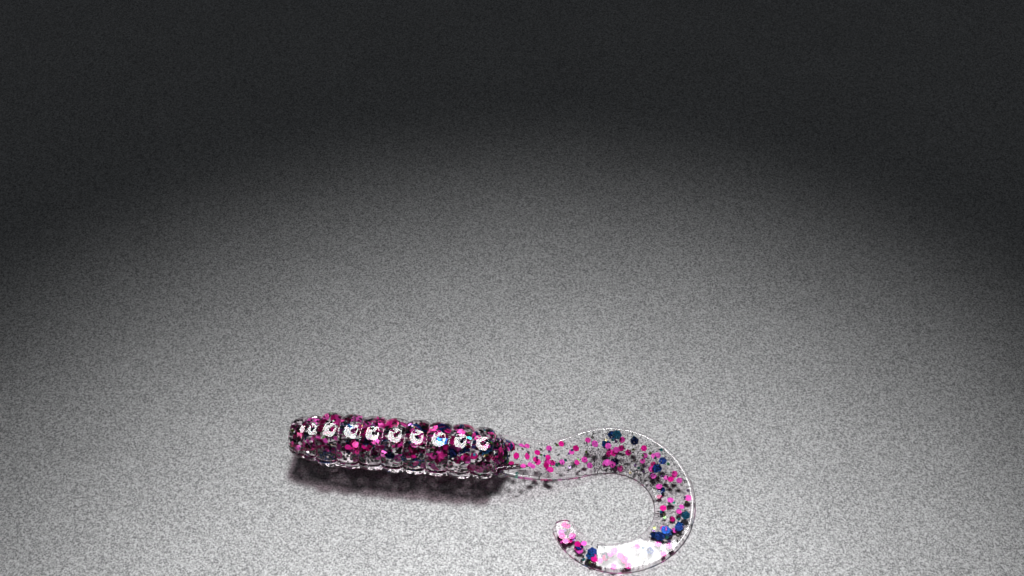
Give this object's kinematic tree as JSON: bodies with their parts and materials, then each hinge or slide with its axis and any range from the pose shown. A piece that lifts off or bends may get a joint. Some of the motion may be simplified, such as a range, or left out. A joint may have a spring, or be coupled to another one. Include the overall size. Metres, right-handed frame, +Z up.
{
  "type": "soft plastic worm",
  "caption": "Ribbed soft plastic grub with a flat curled sickle tail, moulded in clear plastisol full of glitter, threaded on a hook as a fishing bait.",
  "frame": {"origin": "centre of the flat nose face, on the trunk's axis", "axes": "+X along the trunk from nose to tail, +Z up, with the grub lying on the plane z = -3.6 mm and its tail curling towards -Y"},
  "size_m": [0.0536, 0.0214, 0.0072],
  "materials": {
    "clear_plastisol": "glossy, clear, slightly oily",
    "magenta_glitter": "metallised film",
    "blue_glitter": "metallised film, partly holographic"
  },
  "bodies": {
    "nose": {"nose": "clear_plastisol", "magenta_flakes_nose": "magenta_glitter", "blue_flakes_nose": "blue_glitter"},
    "rib_1": {"rib_1": "clear_plastisol", "magenta_flakes_rib_1": "magenta_glitter", "blue_flakes_rib_1": "blue_glitter"},
    "rib_2": {"rib_2": "clear_plastisol", "magenta_flakes_rib_2": "magenta_glitter", "blue_flakes_rib_2": "blue_glitter"},
    "rib_3": {"rib_3": "clear_plastisol", "magenta_flakes_rib_3": "magenta_glitter", "blue_flakes_rib_3": "blue_glitter"},
    "rib_4": {"rib_4": "clear_plastisol", "magenta_flakes_rib_4": "magenta_glitter", "blue_flakes_rib_4": "blue_glitter"},
    "rib_5": {"rib_5": "clear_plastisol", "magenta_flakes_rib_5": "magenta_glitter", "blue_flakes_rib_5": "blue_glitter"},
    "rib_6": {"rib_6": "clear_plastisol", "magenta_flakes_rib_6": "magenta_glitter", "blue_flakes_rib_6": "blue_glitter"},
    "rib_7": {"rib_7": "clear_plastisol", "magenta_flakes_rib_7": "magenta_glitter", "blue_flakes_rib_7": "blue_glitter"},
    "rib_8": {"rib_8": "clear_plastisol", "magenta_flakes_rib_8": "magenta_glitter", "blue_flakes_rib_8": "blue_glitter"},
    "tail_root": {"tail_root": "clear_plastisol", "magenta_flakes_tail_root": "magenta_glitter", "blue_flakes_tail_root": "blue_glitter"},
    "blade_1": {"blade_1": "clear_plastisol", "magenta_flakes_blade_1": "magenta_glitter"},
    "blade_2": {"blade_2": "clear_plastisol", "magenta_flakes_blade_2": "magenta_glitter", "blue_flakes_blade_2": "blue_glitter"},
    "blade_3": {"blade_3": "clear_plastisol", "magenta_flakes_blade_3": "magenta_glitter", "blue_flakes_blade_3": "blue_glitter"},
    "blade_4": {"blade_4": "clear_plastisol", "magenta_flakes_blade_4": "magenta_glitter"},
    "blade_5": {"blade_5": "clear_plastisol", "magenta_flakes_blade_5": "magenta_glitter", "blue_flakes_blade_5": "blue_glitter"},
    "blade_6": {"blade_6": "clear_plastisol", "magenta_flakes_blade_6": "magenta_glitter", "blue_flakes_blade_6": "blue_glitter"},
    "blade_7": {"blade_7": "clear_plastisol", "magenta_flakes_blade_7": "magenta_glitter"},
    "blade_8": {"blade_8": "clear_plastisol", "magenta_flakes_blade_8": "magenta_glitter", "blue_flakes_blade_8": "blue_glitter"},
    "tail_tip": {"tail_tip": "clear_plastisol", "magenta_flakes_tail_tip": "magenta_glitter", "blue_flakes_tail_tip": "blue_glitter"}
  },
  "joints": [
    {"name": "trunk_up_bend", "type": "hinge", "parent": "nose", "child": "rib_1", "pos_m": [0.00535, 0, 0], "axis": [0.002, -1, 0.0014], "range_deg": [-16, 16], "stiffness_Nm_per_rad": 0.0352},
    {"name": "trunk_side_bend", "type": "hinge", "parent": "rib_1", "child": "rib_2", "pos_m": [0.00825, 0, 0], "axis": [0.002, 0.0014, 1], "range_deg": [-16, 16], "stiffness_Nm_per_rad": 0.0352},
    {"name": "trunk_up_bend_rib_2_to_rib_3", "type": "hinge", "parent": "rib_2", "child": "rib_3", "pos_m": [0.01115, 0, 0], "axis": [0.002, -1, 0.0014], "range_deg": [-16, 16]},
    {"name": "trunk_side_bend_rib_3_to_rib_4", "type": "hinge", "parent": "rib_3", "child": "rib_4", "pos_m": [0.01405, 0, 0], "axis": [0.002, 0.0014, 1], "range_deg": [-16, 16]},
    {"name": "trunk_up_bend_rib_4_to_rib_5", "type": "hinge", "parent": "rib_4", "child": "rib_5", "pos_m": [0.01695, 0, 0], "axis": [0.002, -1, 0.0014], "range_deg": [-16, 16]},
    {"name": "trunk_side_bend_rib_5_to_rib_6", "type": "hinge", "parent": "rib_5", "child": "rib_6", "pos_m": [0.01985, 0, 0], "axis": [0.002, 0.0014, 1], "range_deg": [-16, 16]},
    {"name": "trunk_up_bend_rib_6_to_rib_7", "type": "hinge", "parent": "rib_6", "child": "rib_7", "pos_m": [0.02275, 0, 0], "axis": [0.002, -1, 0.0014], "range_deg": [-16, 16]},
    {"name": "trunk_side_bend_rib_7_to_rib_8", "type": "hinge", "parent": "rib_7", "child": "rib_8", "pos_m": [0.02565, 0, 0], "axis": [0.002, 0.0014, 1], "range_deg": [-16, 16]},
    {"name": "tail_lift", "type": "hinge", "parent": "rib_8", "child": "tail_root", "pos_m": [0.02855, 0, 0], "axis": [0.002, -1, 0.0014], "range_deg": [-30, 30], "stiffness_Nm_per_rad": 0.0012},
    {"name": "tail_uncurl_neck", "type": "hinge", "parent": "tail_root", "child": "blade_1", "pos_m": [0.03385, 0.00057, -0.00115], "axis": [0.2504, -0.149, 0.9566], "range_deg": [-16, 3]},
    {"name": "tail_flutter", "type": "hinge", "parent": "blade_1", "child": "blade_2", "pos_m": [0.03829, 0.00256, -0.00191], "axis": [-0.4783, 0.8106, 0.3379], "range_deg": [-32, 32], "stiffness_Nm_per_rad": 0.0009},
    {"name": "tail_uncurl", "type": "hinge", "parent": "blade_2", "child": "blade_3", "pos_m": [0.0429, 0.0039, -0.00205], "axis": [-0.0052, -0.342, 0.9397], "range_deg": [-6, 50], "stiffness_Nm_per_rad": 0.0075},
    {"name": "tail_uncurl_blade_3_to_blade_4", "type": "hinge", "parent": "blade_3", "child": "blade_4", "pos_m": [0.04748, 0.00242, -0.00223], "axis": [-0.1194, -0.2857, 0.9508], "range_deg": [-6, 50]},
    {"name": "tail_flutter_blade_4_to_blade_5", "type": "hinge", "parent": "blade_4", "child": "blade_5", "pos_m": [0.05044, -0.00137, -0.00264], "axis": [0.9249, 0.3365, 0.1772], "range_deg": [-32, 32]},
    {"name": "tail_uncurl_blade_5_to_blade_6", "type": "hinge", "parent": "blade_5", "child": "blade_6", "pos_m": [0.05076, -0.00617, -0.00299], "axis": [-0.0255, -0.0202, 0.9995], "range_deg": [-6, 50]},
    {"name": "tail_uncurl_blade_6_to_blade_7", "type": "hinge", "parent": "blade_6", "child": "blade_7", "pos_m": [0.04834, -0.01032, -0.00286], "axis": [0.0994, -0.0592, 0.9933], "range_deg": [-6, 50]},
    {"name": "tail_flutter_blade_7_to_blade_8", "type": "hinge", "parent": "blade_7", "child": "blade_8", "pos_m": [0.04401, -0.0124, -0.00281], "axis": [0.1489, -0.9764, -0.1564], "range_deg": [-32, 32]},
    {"name": "tail_uncurl_blade_8_to_tail_tip", "type": "hinge", "parent": "blade_8", "child": "tail_tip", "pos_m": [0.03935, -0.01138, -0.00285], "axis": [-0.0938, -0.1255, 0.9877], "range_deg": [-6, 50]}
  ],
  "couplings": [
    {"joint": "trunk_up_bend_rib_2_to_rib_3", "follows": "trunk_up_bend", "ratio": 1},
    {"joint": "trunk_side_bend_rib_3_to_rib_4", "follows": "trunk_side_bend", "ratio": 1},
    {"joint": "trunk_up_bend_rib_4_to_rib_5", "follows": "trunk_up_bend", "ratio": 1},
    {"joint": "trunk_side_bend_rib_5_to_rib_6", "follows": "trunk_side_bend", "ratio": 1},
    {"joint": "trunk_up_bend_rib_6_to_rib_7", "follows": "trunk_up_bend", "ratio": 1},
    {"joint": "trunk_side_bend_rib_7_to_rib_8", "follows": "trunk_side_bend", "ratio": 1},
    {"joint": "tail_uncurl_blade_3_to_blade_4", "follows": "tail_uncurl", "ratio": 1},
    {"joint": "tail_flutter_blade_4_to_blade_5", "follows": "tail_flutter", "ratio": -1},
    {"joint": "tail_uncurl_blade_5_to_blade_6", "follows": "tail_uncurl", "ratio": 1},
    {"joint": "tail_uncurl_blade_6_to_blade_7", "follows": "tail_uncurl", "ratio": 1},
    {"joint": "tail_flutter_blade_7_to_blade_8", "follows": "tail_flutter", "ratio": 1},
    {"joint": "tail_uncurl_blade_8_to_tail_tip", "follows": "tail_uncurl", "ratio": 1},
    {"joint": "tail_uncurl_neck", "follows": "tail_uncurl", "ratio": -0.3}
  ]
}
